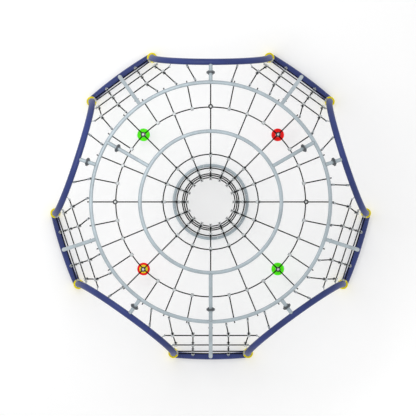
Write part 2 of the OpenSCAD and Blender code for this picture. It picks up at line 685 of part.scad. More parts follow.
// A ferrule on a rope's end p, with a stud towards a tube's axis at q
module rope_foot(p, q, q_r) {
    d = unit(p - q);
    difference() {
        union() {
            bar(p - d * 12, p + d * (sleeve_len - 12), sleeve_d);
            bar(q + d * (q_r + gap), p, stem_d);
        }
        bar(p - d * gap, p + d * sleeve_len, rope_d + 2 * gap);
    }
}

module rope_feet() {
    color([0.6, 0.65, 0.68]) {
        at_meridians(false) rope_foot(in_plane(ground_point(rope_end_d)), in_plane(ground_top),
                                      ground_ring_tube_d / 2);
        each_panel() for (k = LONG_DROPS) rope_foot(flip_u(drop_foot(k)), flip_u(rail_hold(k)), rail_r);
        each_side(FIRST_ARCH - 90) for (k = [0:len(TIES) - 1]) difference() {
            rope_foot(flip_u(tie_foot(k)), flip_u(tie_hold(k)), stem_d);
            arch_notch(flip_u(tie_hold(k)), flip_u(arch_along(tie_t(k))));
        }
    }
}

module node_rings() {
    n = normal2(dome_dir);
    lift = rope_d / 2 + clamp_near + clamp_plate + node_ring_wire / 2 + gap;
    color([0.1, 0.1, 0.11]) for (a = [0:45:315]) if (!under_spoke(a)) rotate([0, 0, a])
        aim(in_plane(dome_node - n * lift), in_plane(dome_node - n * (lift + 1)))
            rotate_extrude() translate([node_ring_d / 2, 0]) circle(d = node_ring_wire);
}

// ---- swinging discs ----

swing_r = dome_ring[0];
function swing_dir(i) = FIRST_SWING + i * SWING_STEP;

module at_swing(i) { rotate([0, 0, swing_dir(i)]) translate([swing_r, 0, 0]) children(); }

// Two ears with a pin hole along y, whose base lies above (side 1) or below (side -1) the pin
module ears(z, side, base_h) {
    inner = link_w / 2 + link_gap;
    reach = ear_r + 10;
    difference() {
        union() {
            for (s = [-1, 1]) translate([0, s * (inner + ear_t / 2), z]) {
                rotate([90, 0, 0]) cylinder(h = ear_t, r = ear_r, center = true);
                translate([-ear_r, -ear_t / 2, side > 0 ? 0 : -reach]) cube([2 * ear_r, ear_t, reach]);
            }
            translate([-ear_r, -inner - ear_t, side > 0 ? z + reach - small : z - reach - base_h + small])
                cube([2 * ear_r, 2 * (inner + ear_t), base_h]);
        }
        translate([0, 0, z]) rotate([90, 0, 0]) cylinder(h = 4 * link_w, d = pin_d + 2 * gap, center = true);
    }
}

module hanger_clamps() {
    base_top = dome_ring[1] - rope_d / 2 - clamp_plate;
    base_h = base_top - (swing_pin_z + ear_r + 10);
    color([0.78, 0.8, 0.8]) for (i = [0:3]) rotate([0, 0, swing_dir(i)]) {
        dome_clamp();
        translate([swing_r, 0, 0]) ears(swing_pin_z, 1, base_h);
    }
}

module pin(z) {
    translate([0, 0, z]) rotate([90, 0, 0]) {
        cylinder(h = link_w + 2 * ear_t + 6, d = pin_d, center = true);
        for (s = [-1, 1]) translate([0, 0, s * (link_w / 2 + ear_t + link_gap + gap + 2)])
            cylinder(h = 4, d = pin_d + 6, center = true);
    }
}

module hanger_pins() { color([0.5, 0.52, 0.54]) for (i = [0:3]) at_swing(i) pin(swing_pin_z); }

module link(i) {
    color([0.6, 0.65, 0.68]) at_swing(i) difference() {
        union() {
            translate([0, 0, fork_pin_z]) cylinder(h = link_pitch, d = link_w - 4);
            for (z = [swing_pin_z, fork_pin_z]) translate([0, 0, z])
                rotate([z == swing_pin_z ? 90 : 0, z == swing_pin_z ? 0 : 90, 0])
                    cylinder(h = link_w, r = ear_r, center = true);
        }
        translate([0, 0, swing_pin_z]) rotate([90, 0, 0])
            cylinder(h = 2 * link_w, d = pin_d + 2 * pin_clear, center = true);
        translate([0, 0, fork_pin_z]) rotate([0, 90, 0])
            cylinder(h = 2 * link_w, d = pin_d + 2 * pin_clear, center = true);
    }
}

// The fork turned a quarter, its own pin, and the ferrule pressed on the rope
module fork(i) {
    color([0.6, 0.65, 0.68]) at_swing(i) {
        difference() {
            union() {
                rotate([0, 0, 90]) ears(fork_pin_z, -1, 10);
                translate([0, 0, fork_body_z - ferrule_h]) cylinder(h = ferrule_h - 9, d = sleeve_d);
            }
            translate([0, 0, fork_body_z - ferrule_h - 1]) cylinder(h = 45 + gap, d = rope_d + 2 * gap);
        }
        rotate([0, 0, 90]) pin(fork_pin_z);
    }
}

function route_ring(p, r) = [for (k = [0:SWING_SIDES - 1])
    [p[0] + r * cos(k * 360 / SWING_SIDES), p[1] + r * sin(k * 360 / SWING_SIDES),
     swing_rope_top + (swing_rope_bottom - swing_rope_top) * p[2]]];

function route_faces(rings, n) = concat(
    [[for (k = [n - 1:-1:0]) n - 1 - k]],
    [for (i = [0:rings - 2], k = [0:n - 1])
        [i * n + k, (i + 1) * n + k, (i + 1) * n + (k + 1) % n, i * n + (k + 1) % n]],
    [[for (k = [n - 1:-1:0]) (rings - 1) * n + k]]);

module swing_rope(i) {
    color([0.07, 0.07, 0.08]) at_swing(i)
        polyhedron(points = [for (p = SWING_ROUTE, q = route_ring(p, rope_d / 2)) q],
                   faces = route_faces(len(SWING_ROUTE), SWING_SIDES), convexity = 4);
}

module disc_body(d, t, round_r, z) {
    r = d / 2;
    translate([0, 0, z - t]) rotate_extrude() {
        translate([rope_d / 2 + gap, 0]) square([r - round_r - rope_d / 2 - gap, t]);
        translate([rope_d / 2 + gap, round_r]) square([r - rope_d / 2 - gap, t - 2 * round_r]);
        for (s = [round_r, t - round_r]) translate([r - round_r, s]) circle(r = round_r);
    }
}

module disc(i) {
    tint = [[1, 0, 0], [0.31, 1, 0], [1, 0, 0], [0.31, 1, 0]];
    color(tint[i]) at_swing(i) {
        difference() {
            union() {
                disc_body(disc_d, disc_t, disc_round, disc_top_z);
                translate([0, 0, disc_top_z - disc_t - hub_h])
                    cylinder(h = hub_h + 1, d1 = stop_d + 12, d2 = stop_d + 50);
            }
            translate([0, 0, disc_top_z - disc_t - hub_h - 1])
                cylinder(h = hub_h + disc_t + 2, d = rope_d + 2 * gap);
        }
    }
}

// The second, smaller disc that lies on the red one at the south-west
module top_disc() {
    color([1, 0.92, 0]) at_swing(2) translate([0, 0, gap])
        disc_body(top_disc_d, top_disc_h, top_disc_round, disc_top_z + top_disc_h);
}

module stop(i) {
    z = disc_top_z - disc_t - hub_h - gap;
    color([0.12, 0.12, 0.13]) at_swing(i) translate([0, 0, z - stop_h]) difference() {
        cylinder(h = stop_h, d = stop_d);
        translate([0, 0, 3]) cylinder(h = stop_h, d = rope_d + 2 * gap);
    }
}

// ---- drawing ----

for (i = [0:SIDES - 1]) arch(i);
union() { base_rails(); rail_stubs(); }
foot_sockets();
socket_screws();
outer_ring();
ring_splices();
top_ring();
ground_ring();
arch_stubs();
outer_ring_stubs();
spokes();
flanges();
flange_bolts();
flange_nuts();
posts();
post_spigots();
post_bolts();
meridian_ropes();
dome_ropes();
dome_rope_ring();
funnel_rope_rings();
panel_rows();
panel_drops();
arch_ties();
dome_clamps();
funnel_clamps();
panel_clamps();
top_ring_holders();
outer_ring_holders();
panel_holders();
row_holders();
rope_feet();
node_rings();
hanger_clamps();
hanger_pins();
for (i = [0:3]) {
    link(i);
    fork(i);
    swing_rope(i);
    disc(i);
    stop(i);
}
top_disc();  // top_disc_sw
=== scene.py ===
"""Dome climber: the visual model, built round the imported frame, in metres, +Z up."""

import math

import bpy
import numpy as np
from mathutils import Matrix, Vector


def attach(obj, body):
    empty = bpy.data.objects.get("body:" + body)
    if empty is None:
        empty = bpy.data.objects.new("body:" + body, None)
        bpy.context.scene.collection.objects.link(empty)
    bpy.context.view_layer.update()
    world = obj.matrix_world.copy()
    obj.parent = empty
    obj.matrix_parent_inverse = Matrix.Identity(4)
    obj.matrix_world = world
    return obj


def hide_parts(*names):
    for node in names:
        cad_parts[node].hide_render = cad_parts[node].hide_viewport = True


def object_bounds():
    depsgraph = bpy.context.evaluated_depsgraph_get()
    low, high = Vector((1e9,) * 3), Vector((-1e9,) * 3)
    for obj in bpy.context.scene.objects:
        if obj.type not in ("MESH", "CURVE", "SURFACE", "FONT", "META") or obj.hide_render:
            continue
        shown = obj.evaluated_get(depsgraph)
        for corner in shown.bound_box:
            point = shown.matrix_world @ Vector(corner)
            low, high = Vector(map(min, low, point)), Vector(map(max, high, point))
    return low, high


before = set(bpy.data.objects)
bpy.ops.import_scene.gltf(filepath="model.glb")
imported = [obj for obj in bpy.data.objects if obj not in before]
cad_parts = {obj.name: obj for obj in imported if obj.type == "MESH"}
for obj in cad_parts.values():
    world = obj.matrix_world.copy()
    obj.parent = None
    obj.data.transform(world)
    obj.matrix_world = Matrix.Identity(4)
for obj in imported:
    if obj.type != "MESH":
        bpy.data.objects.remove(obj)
cad_box = [list(corner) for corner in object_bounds()]

bl_info = {
    "name": "Dome climber",
    "version": (1, 0, 0),
    "blender": (4, 5, 0),
    "location": "View3D > Sidebar > Climber",
    "description": "Builds the ropes, clamps, discs, welds and finishes of a dome climber",
    "category": "Add Mesh",
}

# ---- sizes that follow the frame, in metres ----

SIDES, MERIDIANS = 5, 16
FIRST_PANEL = 18 + 36
OUTER_RING = np.array([1.892, 1.660])
TOP_RING = np.array([1.118, 1.850])
RING_TUBE_R, ARCH_TUBE_R = 0.0603 / 2, 0.1016 / 2
NET_DROP = 0.060
DOME_RING_R = 1.498
ROPE_CROSSING = 0.0216
TAIL, RING_TAIL, SIDE_OFF = 0.024, 0.058, 0.060
FUNNEL = np.array([[0.752, 1.664], [0.533, 1.350], [0.416, 0.985], [0.384, 0.620], [0.444, 0.315]])
GROUND_RING = np.array([0.577, 0.0483 / 2])
ROPE_END = 0.0483 / 2 + 0.034
ROWS = np.array([[2.109, 1.350], [2.259, 1.110], [2.359, 0.760], [2.396, 0.400]])
DROPS = [(-20.3, -0.603, -0.550), (-10.5, -0.280, -0.280), (7.5, 0.280, 0.280), (18, 0.603, 0.550)]
LONG_DROPS = (1, 2)
TIES = [(-10, -0.447), (7.3, 0.411)]
RAIL_MID_R, RAIL_BOW_R = 2.438, 6.160
ARCH_LEG, ARCH_LEAN = 0.655, math.radians(4.1)
LEG_CIRCLE, LEG_ANGLE = 2.460, math.radians(22.13)
HALF_SPAN, LEG_DIST = LEG_CIRCLE * math.sin(LEG_ANGLE), LEG_CIRCLE * math.cos(LEG_ANGLE)
SLEEVE_R, ROW_END_LEN, ROW_END_ROOM, ROW_END_GAP = 0.017, 0.022, 0.002, 0.003
HOLDER_LOW, EYE_LEN = 0.010, 0.038
SPOKES = (30, 150, 270)
SWINGS = {"ne": 45, "nw": 135, "sw": 225, "se": 315}
ROPE_TOP, ROPE_BOTTOM = 1.54248, 0.344
DISC_TOP, DISC_T, HUB_H = 0.440, 0.040, 0.030
CLAMP_NEAR, BEND_NEAR, PLATE = 0.0009, 0.005, 0.006
ORTHO_WIDTH = 6.57
CENTRE_OFF = (-0.042, -0.096)


# ---- plane geometry of the net ----

def unit(v):
    """A vector divided by its length."""
    v = np.asarray(v, float)
    return v / np.linalg.norm(v)


def normal2(d):
    """The plane direction d turned a quarter turn."""
    return np.array([-d[1], d[0]])


def turned(points, degrees):
    """Points turned about the upright axis."""
    a = math.radians(degrees)
    spin = np.array([[math.cos(a), -math.sin(a), 0], [math.sin(a), math.cos(a), 0], [0, 0, 1]])
    return np.asarray(points, float) @ spin.T


def in_plane(points):
    """[radius, height] pairs set in the plane y = 0."""
    points = np.atleast_2d(points)
    return np.column_stack([points[:, 0], np.zeros(len(points)), points[:, 1]])


HOLD_A, HOLD_B = OUTER_RING - [0, NET_DROP], TOP_RING - [0, NET_DROP]
DOME_DIR = unit(HOLD_B - HOLD_A)
DOME_OUT = normal2(DOME_DIR)


def dome_point(r):
    """The place on the dome's rope line at radius r."""
    return HOLD_A + DOME_DIR * (HOLD_A[0] - r) / -DOME_DIR[0]


DOME_NODE = dome_point(DOME_RING_R - DOME_OUT[0] * ROPE_CROSSING)
DOME_RING = DOME_NODE + DOME_OUT * ROPE_CROSSING


def offset_nodes(chain):
    """Inner points of a chain moved a crossing's distance along the mean normal of their two sides."""
    chain = np.asarray(chain, float)
    before = chain[1:-1] - chain[:-2]
    after = chain[2:] - chain[1:-1]
    before /= np.linalg.norm(before, axis=1)[:, None]
    after /= np.linalg.norm(after, axis=1)[:, None]
    mean = before + after
    mean /= np.linalg.norm(mean, axis=1)[:, None]
    return chain[1:-1] - np.column_stack([-mean[:, 1], mean[:, 0]]) * ROPE_CROSSING


FUNNEL_NODES = offset_nodes([HOLD_B, *FUNNEL, GROUND_RING])
MERIDIAN = np.array([HOLD_A - DOME_DIR * RING_TAIL, HOLD_B, *FUNNEL_NODES,
                     GROUND_RING - unit(GROUND_RING - FUNNEL_NODES[-1]) * ROPE_END])


def arch_t(z):
    """Angle along an arch at height z."""
    return math.asin(max(0.0, min(1.0, (z - ARCH_LEG) / (HALF_SPAN * math.cos(ARCH_LEAN)))))


def arch_point(t):
    """[distance from the axis, height] of an arch's tube at angle t."""
    return np.array([LEG_DIST - HALF_SPAN * math.sin(ARCH_LEAN) * math.sin(t),
                     ARCH_LEG + HALF_SPAN * math.cos(ARCH_LEAN) * math.sin(t)])


def row_end(z):
    """Half length of a row rope at height z, which stops short of the arch's tube."""
    t = arch_t(z)
    s36, c36 = math.sin(math.radians(36)), math.cos(math.radians(36))
    u = arch_point(t)[0] * s36 - HALF_SPAN * math.cos(t) * c36
    c = abs(-math.sin(ARCH_LEAN) * math.cos(t) * s36 + math.sin(t) * c36)
    off = (ARCH_TUBE_R + SLEEVE_R * c) / math.sqrt(1 - c * c) + ROW_END_ROOM + ROW_END_LEN / 2
    return u - off + ROW_END_LEN / 2 - ROW_END_GAP


def drop_line(k):
    """A side panel's rope k from the outer ring down, as points [sideways, out, up]."""
    angle, u1, u2 = DROPS[k]
    start = np.array([OUTER_RING[0] + SIDE_OFF, OUTER_RING[1] - HOLDER_LOW])
    u0 = OUTER_RING[0] * math.sin(math.radians(angle))
    top = np.array([math.sqrt(start[0] ** 2 - u0 ** 2), start[1]])
    flat = offset_nodes([top, *ROWS, [RAIL_MID_R, 2 * ARCH_TUBE_R]])
    count = 4 if k in LONG_DROPS else 2
    nodes = np.array([[u1 if i == 0 else u2, *flat[i]] for i in range(count)])
    first = np.array([u0, *top])
    begin = first + unit(first - nodes[0]) * TAIL
    if k in LONG_DROPS:
        rail = RAIL_MID_R - RAIL_BOW_R + math.sqrt(RAIL_BOW_R ** 2 - u2 ** 2)
        hold = np.array([u2, rail, ARCH_TUBE_R])
        end = hold + unit(nodes[-1] - hold) * (ARCH_TUBE_R + EYE_LEN)
    else:
        end = nodes[-1] + unit(nodes[-1] - nodes[-2]) * TAIL
    return nodes, np.array([begin, *nodes, end])


def flip_u(points):
    """Sideways runs anticlockwise round the climber."""
    return np.asarray(points, float) * [-1, 1, 1]


def tie_line(k):
    """The short rope k from the outer ring to an arch."""
    angle, u = TIES[k]
    t = math.acos(u / HALF_SPAN)
    hold = np.array([u, *arch_point(t)])
    a, r = math.radians(angle), OUTER_RING[0] + SIDE_OFF
    top = np.array([r * math.sin(a), r * math.cos(a), OUTER_RING[1] - HOLDER_LOW])
    foot = hold + unit(top - hold) * (ARCH_TUBE_R + EYE_LEN)
    return np.array([top + unit(top - foot) * TAIL, foot])


PANEL_TURNS = [FIRST_PANEL - 90 + 72 * i for i in range(SIDES)]
ARCH_TURNS = [18 - 90 + 72 * i for i in range(SIDES)]


# ---- surfaces ----

def grid_faces(rows, cols, wrap_rows=False, wrap_cols=True):
    """Quads of a grid of rows x cols points, joined round where a way wraps."""
    i = np.arange(rows if wrap_rows else rows - 1)[:, None]
    j = np.arange(cols if wrap_cols else cols - 1)[None, :]
    a = i * cols + j
    b = i * cols + (j + 1) % cols
    c = (i + 1) % rows * cols + (j + 1) % cols
    d = (i + 1) % rows * cols + j
    return np.stack([a, b, c, d], axis=-1).reshape(-1, 4)


class Build:
    """Collects points and faces of one piece, then makes its mesh."""

    def __init__(self):
        self.points, self.quads, self.caps, self.along, self.total = [], [], [], [], 0

    def grid(self, p, wrap_rows=False, wrap_cols=True, caps=False, along=None):
        """Adds a grid p of shape rows x cols x 3, with a cap over each end row if asked."""
        rows, cols = p.shape[:2]
        self.quads.append(grid_faces(rows, cols, wrap_rows, wrap_cols) + self.total)
        if caps:
            first = np.arange(cols) + self.total
            self.caps += [first[::-1].tolist(), (first + (rows - 1) * cols).tolist()]
        self.points.append(p.reshape(-1, 3))
        s = np.zeros(rows * cols) if along is None else np.repeat(along, cols)
        self.along.append(s)
        self.total += rows * cols

    def piece(self, name, body, slot, material, nodes=(), smooth=True):
        """Makes the object, rides it on its body and hides the frame's nodes it stands for."""
        mesh = bpy.data.meshes.new(name)
        points = np.concatenate(self.points)
        faces = np.concatenate(self.quads).tolist() + self.caps
        mesh.from_pydata(points.tolist(), [], faces)
        way = mesh.attributes.new("along", "FLOAT", "POINT")
        way.data.foreach_set("value", np.concatenate(self.along).astype(np.float32))
        if smooth:
            mesh.polygons.foreach_set("use_smooth", np.array([len(f) == 4 for f in faces]))
        mesh.validate()
        mesh.update()
        mesh.materials.append(material)
        obj = bpy.data.objects.new(name, mesh)
        bpy.context.scene.collection.objects.link(obj)
        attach(obj, body)
        if nodes:
            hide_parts(*nodes)
        return obj


def rounded(points, radius, step):
    """A chain of points with each corner an arc of the given radius, cut every step or so."""
    points = np.asarray(points, float)
    out = [points[0]]
    for i in range(1, len(points) - 1):
        a, b = unit(points[i - 1] - points[i]), unit(points[i + 1] - points[i])
        half = math.acos(max(-1.0, min(1.0, float(a @ b)))) / 2
        if half > math.radians(89.5):
            out.append(points[i])
            continue
        reach = radius / math.tan(half)
        centre = points[i] + unit(a + b) * radius / math.sin(half)
        p, q = points[i] + a * reach - centre, points[i] + b * reach - centre
        sweep_angle = math.pi - 2 * half
        w = np.linspace(0, 1, max(3, int(sweep_angle * radius / step) + 2))[:, None]
        arc = (np.sin((1 - w) * sweep_angle) * p + np.sin(w * sweep_angle) * q) / math.sin(sweep_angle)
        out.extend(centre + arc)
    out.append(points[-1])
    return resampled(np.array(out), step)


def resampled(points, step):
    """The same line with points an even step apart."""
    lengths = np.concatenate([[0], np.cumsum(np.linalg.norm(np.diff(points, axis=0), axis=1))])
    s = np.linspace(0, lengths[-1], max(2, int(round(lengths[-1] / step)) + 1))
    return np.column_stack([np.interp(s, lengths, points[:, k]) for k in range(3)])


def carried(path, side, profile, closed=False):
    """A profile carried along a path: path + profile_x * across + profile_y * up, where across is
    side made square to the path and up is the third direction. The profile is rows x cols x 2."""
    if closed:
        tangent = np.roll(path, -1, axis=0) - np.roll(path, 1, axis=0)
    else:
        tangent = np.gradient(path, axis=0)
    tangent /= np.linalg.norm(tangent, axis=1)[:, None]
    side = np.broadcast_to(side, path.shape)
    across = side - tangent * np.sum(side * tangent, axis=1)[:, None]
    across /= np.linalg.norm(across, axis=1)[:, None]
    up = np.cross(tangent, across)
    return path[:, None] + profile[..., :1] * across[:, None] + profile[..., 1:] * up[:, None]


def strand_profile(lengths, radius, lay, lobes=6, per_lobe=3, whole=False):
    """A laid rope's section along its length: radius * (1 - depth * (1 - |cos(lobes a / 2)|)) at
    angle a, turned once for each lay of length, so that the section's lobes wind round it."""
    count = lobes * per_lobe
    a = np.arange(count) * 2 * math.pi / count
    r = radius * (1 - 0.06 * (1 - np.abs(np.cos(lobes * a / 2))))
    turns = lengths[-1] / lay
    if whole:
        turns = max(1, round(turns))
    twist = lengths / lengths[-1] * turns * 2 * math.pi
    angle = a[None] + twist[:, None]
    return np.stack([r * np.cos(angle), r * np.sin(angle)], axis=-1)


def lay_rope(build, path, side, closed=False):
    """Adds one laid rope along a path to a piece."""
    rope = bpy.context.scene.climber_rope
    steps = np.linalg.norm(np.diff(path, axis=0), axis=1)
    lengths = np.concatenate([[0], np.cumsum(steps)])
    profile = strand_profile(lengths, rope.diameter / 2, rope.lay, whole=closed)
    if closed:
        path, profile, lengths = path[:-1], profile[:-1], lengths[:-1]
    build.grid(carried(path, np.asarray(side, float), profile, closed), closed, True, not closed, lengths)


def circle_path(r, z, step):
    """Points round a level circle, with the first point again at the end."""
    a = np.linspace(0, 2 * math.pi, int(2 * math.pi * r / step) + 1)
    return np.column_stack([r * np.cos(a), r * np.sin(a), np.full(len(a), z)])


def revolved(profile, centre, count=64):
    """A profile of [radius, height] turned about an upright axis through centre."""
    profile = np.asarray(profile, float)
    a = np.arange(count) * 2 * math.pi / count
    r, z = profile[:, :1], profile[:, 1:]
    return np.stack([centre[0] + r * np.cos(a), centre[1] + r * np.sin(a),
                     np.broadcast_to(z, (len(profile), count))], axis=-1)


def frame_at(p, q):
    """Two directions square to the line from p to q, and the line's own."""
    d = unit(np.asarray(q, float) - p)
    level = np.cross([0, 0, 1], d)
    across = unit(level) if np.linalg.norm(level) > 1e-6 else np.array([0.0, 1, 0])
    return np.cross(across, d), across, d


def clamp_plate(build, base, axes, low, height, size, cross):
    """One moulded half of a cross clamp: a pillow whose outline is size * (1 - cross * (1 +
    cos 4a) / 2) at angle a, so that it has four arms between the ropes, and whose edge is
    rounded: out = sin(b) ** 0.35 and up = cos(b) ** 0.5 for b from pole to pole."""
    a = np.arange(24) * 2 * math.pi / 24
    b = np.linspace(0.02, math.pi - 0.02, 8)
    out = np.sin(b) ** 0.35
    up = np.sign(np.cos(b)) * np.abs(np.cos(b)) ** 0.5
    r = size * (1 - cross * (1 + np.cos(4 * a)) / 2)
    x, y, d = axes
    p = (base + out[:, None, None] * r[None, :, None] * (np.cos(a)[None, :, None] * x
         + np.sin(a)[None, :, None] * y) + (low + height / 2 * (1 + up))[:, None, None] * d)
    build.grid(p[::-1], False, True, True)


def clamp(build, p, q, near):
    """A cross clamp of two moulded halves on four bolts, set on two ropes that cross at p and q."""
    rope_r = bpy.context.scene.climber_rope.diameter / 2
    size = bpy.context.scene.climber_clamp.width / 2
    x, y, d = axes = frame_at(p, q)
    low = -rope_r - near - PLATE
    high = float(np.linalg.norm(np.asarray(q) - p)) + rope_r + 0.0003
    clamp_plate(build, p, axes, low, PLATE + 0.0005, size, 0.27)
    clamp_plate(build, p, axes, high - 0.0005, PLATE + 0.0005, size, 0.27)
    bolt_circle, shank_r, head_r, head_seat = 0.0269, 0.0032, 0.0052, high + PLATE + 0.0002
    ring = np.arange(6) * math.pi / 3
    levels = np.array([[shank_r, low], [shank_r, head_seat], [head_r, head_seat],
                       [head_r, high + PLATE + 0.0026], [0.0034, high + PLATE + 0.0036]])
    for k in range(4):
        a = math.radians(45 + 90 * k)
        foot = p + bolt_circle * (math.cos(a) * x + math.sin(a) * y)
        tube = (foot + levels[:, :1, None] * (np.cos(ring)[None, :, None] * x
                + np.sin(ring)[None, :, None] * y) + levels[:, 1:, None] * d)
        build.grid(tube, False, True, True)


def weld(build, start, direction, along, stub_r, tube_r, bead=0.0035):
    """A weld bead where a stub of radius a meets a tube of radius R: at angle f round the stub the
    bead stands sqrt(R^2 - (a sin f)^2) from the tube's axis, with a rippled, wandering width."""
    f = np.linspace(0, 2 * math.pi, 121)[:-1]
    e2 = unit(np.cross(direction, along))
    deep = np.sqrt(np.maximum(tube_r ** 2 - (stub_r * np.sin(f)) ** 2, 0))
    path = (start + deep[:, None] * direction + stub_r * (np.cos(f)[:, None] * along
            + np.sin(f)[:, None] * e2))
    a = np.arange(8) * math.pi / 4
    wide = bead * (1 + 0.16 * np.sin(34 * f) + 0.10 * np.sin(5 * f + 1))
    profile = np.stack([wide[:, None] * np.cos(a), wide[:, None] * np.sin(a)], axis=-1)
    skin = carried(path, np.asarray(direction, float), profile, True)
    skin[..., 2] = np.minimum(skin[..., 2], cad_box[1][2])
    build.grid(skin, True, True)


# ---- finishes ----

def new_group(name, inputs, outputs):
    """An empty shader group with number or colour inputs, each with its default."""
    group = bpy.data.node_groups.new(name, "ShaderNodeTree")
    for label, kind, value in inputs:
        socket = group.interface.new_socket(label, in_out="INPUT", socket_type=kind)
        socket.default_value = value
    for label, kind in outputs:
        group.interface.new_socket(label, in_out="OUTPUT", socket_type=kind)
    return group, group.nodes.new("NodeGroupInput"), group.nodes.new("NodeGroupOutput")


def math_node(tree, operation, a, b):
    """A Math node fed by two sockets or numbers."""
    node = tree.nodes.new("ShaderNodeMath")
    node.operation = operation
    for i, value in enumerate((a, b)):
        if isinstance(value, (int, float)):
            node.inputs[i].default_value = value
        else:
            tree.links.new(value, node.inputs[i])
    return node.outputs[0]


def ramp_node(tree, fac, low, high):
    """A soft step from 0 to 1 between two values."""
    node = tree.nodes.new("ShaderNodeMapRange")
    node.interpolation_type = "SMOOTHSTEP"
    node.inputs["From Min"].default_value = low
    node.inputs["From Max"].default_value = high
    tree.links.new(fac, node.inputs["Value"])
    return node.outputs["Result"]


def noise_node(tree, vector, scale, detail=3.0, rough=0.55):
    """A Noise texture on a vector socket."""
    node = tree.nodes.new("ShaderNodeTexNoise")
    node.inputs["Detail"].default_value = detail
    node.inputs["Roughness"].default_value = rough
    if isinstance(scale, (int, float)):
        node.inputs["Scale"].default_value = scale
    else:
        tree.links.new(scale, node.inputs["Scale"])
    tree.links.new(vector, node.inputs["Vector"])
    return node.outputs["Fac"]


def weather_group():
    """Patchy dirt and wear: large soft patches times fine specks, as one mask from 0 to 1."""
    g, inp, out = new_group("Weather", [("Vector", "NodeSocketVector", (0, 0, 0)),
                                        ("Patch Scale", "NodeSocketFloat", 6.0),
                                        ("Speck Scale", "NodeSocketFloat", 90.0),
                                        ("Amount", "NodeSocketFloat", 0.5)],
                            [("Mask", "NodeSocketFloat")])
    patch = ramp_node(g, noise_node(g, inp.outputs["Vector"], inp.outputs["Patch Scale"]), 0.42, 0.68)
    speck = ramp_node(g, noise_node(g, inp.outputs["Vector"], inp.outputs["Speck Scale"], 4), 0.40, 0.62)
    both = math_node(g, "MULTIPLY", patch, speck)
    g.links.new(math_node(g, "MULTIPLY", both, inp.outputs["Amount"]), out.inputs["Mask"])
    return g


def skin_group():
    """A finish's fine relief: orange peel plus a finer grain, as one height."""
    g, inp, out = new_group("Skin", [("Vector", "NodeSocketVector", (0, 0, 0)),
                                     ("Peel Scale", "NodeSocketFloat", 220.0),
                                     ("Grain Scale", "NodeSocketFloat", 900.0),
                                     ("Grain", "NodeSocketFloat", 0.4)], [("Height", "NodeSocketFloat")])
    peel = noise_node(g, inp.outputs["Vector"], inp.outputs["Peel Scale"], 2)
    grain = noise_node(g, inp.outputs["Vector"], inp.outputs["Grain Scale"], 2)
    fine = math_node(g, "MULTIPLY", grain, inp.outputs["Grain"])
    g.links.new(math_node(g, "ADD", peel, fine), out.inputs["Height"])
    return g


def ground_group():
    """Splash dirt near the ground: 1 at the bottom, fading out with height and broken by noise."""
    g, inp, out = new_group("Splash", [("Vector", "NodeSocketVector", (0, 0, 0)),
                                       ("Height", "NodeSocketFloat", 0.35)],
                            [("Mask", "NodeSocketFloat")])
    split = g.nodes.new("ShaderNodeSeparateXYZ")
    g.links.new(inp.outputs["Vector"], split.inputs[0])
    share = math_node(g, "DIVIDE", split.outputs["Z"], inp.outputs["Height"])
    ragged = math_node(g, "MULTIPLY", noise_node(g, inp.outputs["Vector"], 9.0), 0.9)
    broken = math_node(g, "ADD", share, ragged)
    fade = ramp_node(g, broken, 1.3, 0.3)
    g.links.new(fade, out.inputs["Mask"])
    return g


def named_material(name):
    """The finish of that name, made blank if it isn't there yet."""
    m = bpy.data.materials.get(name) or bpy.data.materials.new(name)
    m.use_nodes = True
    return m


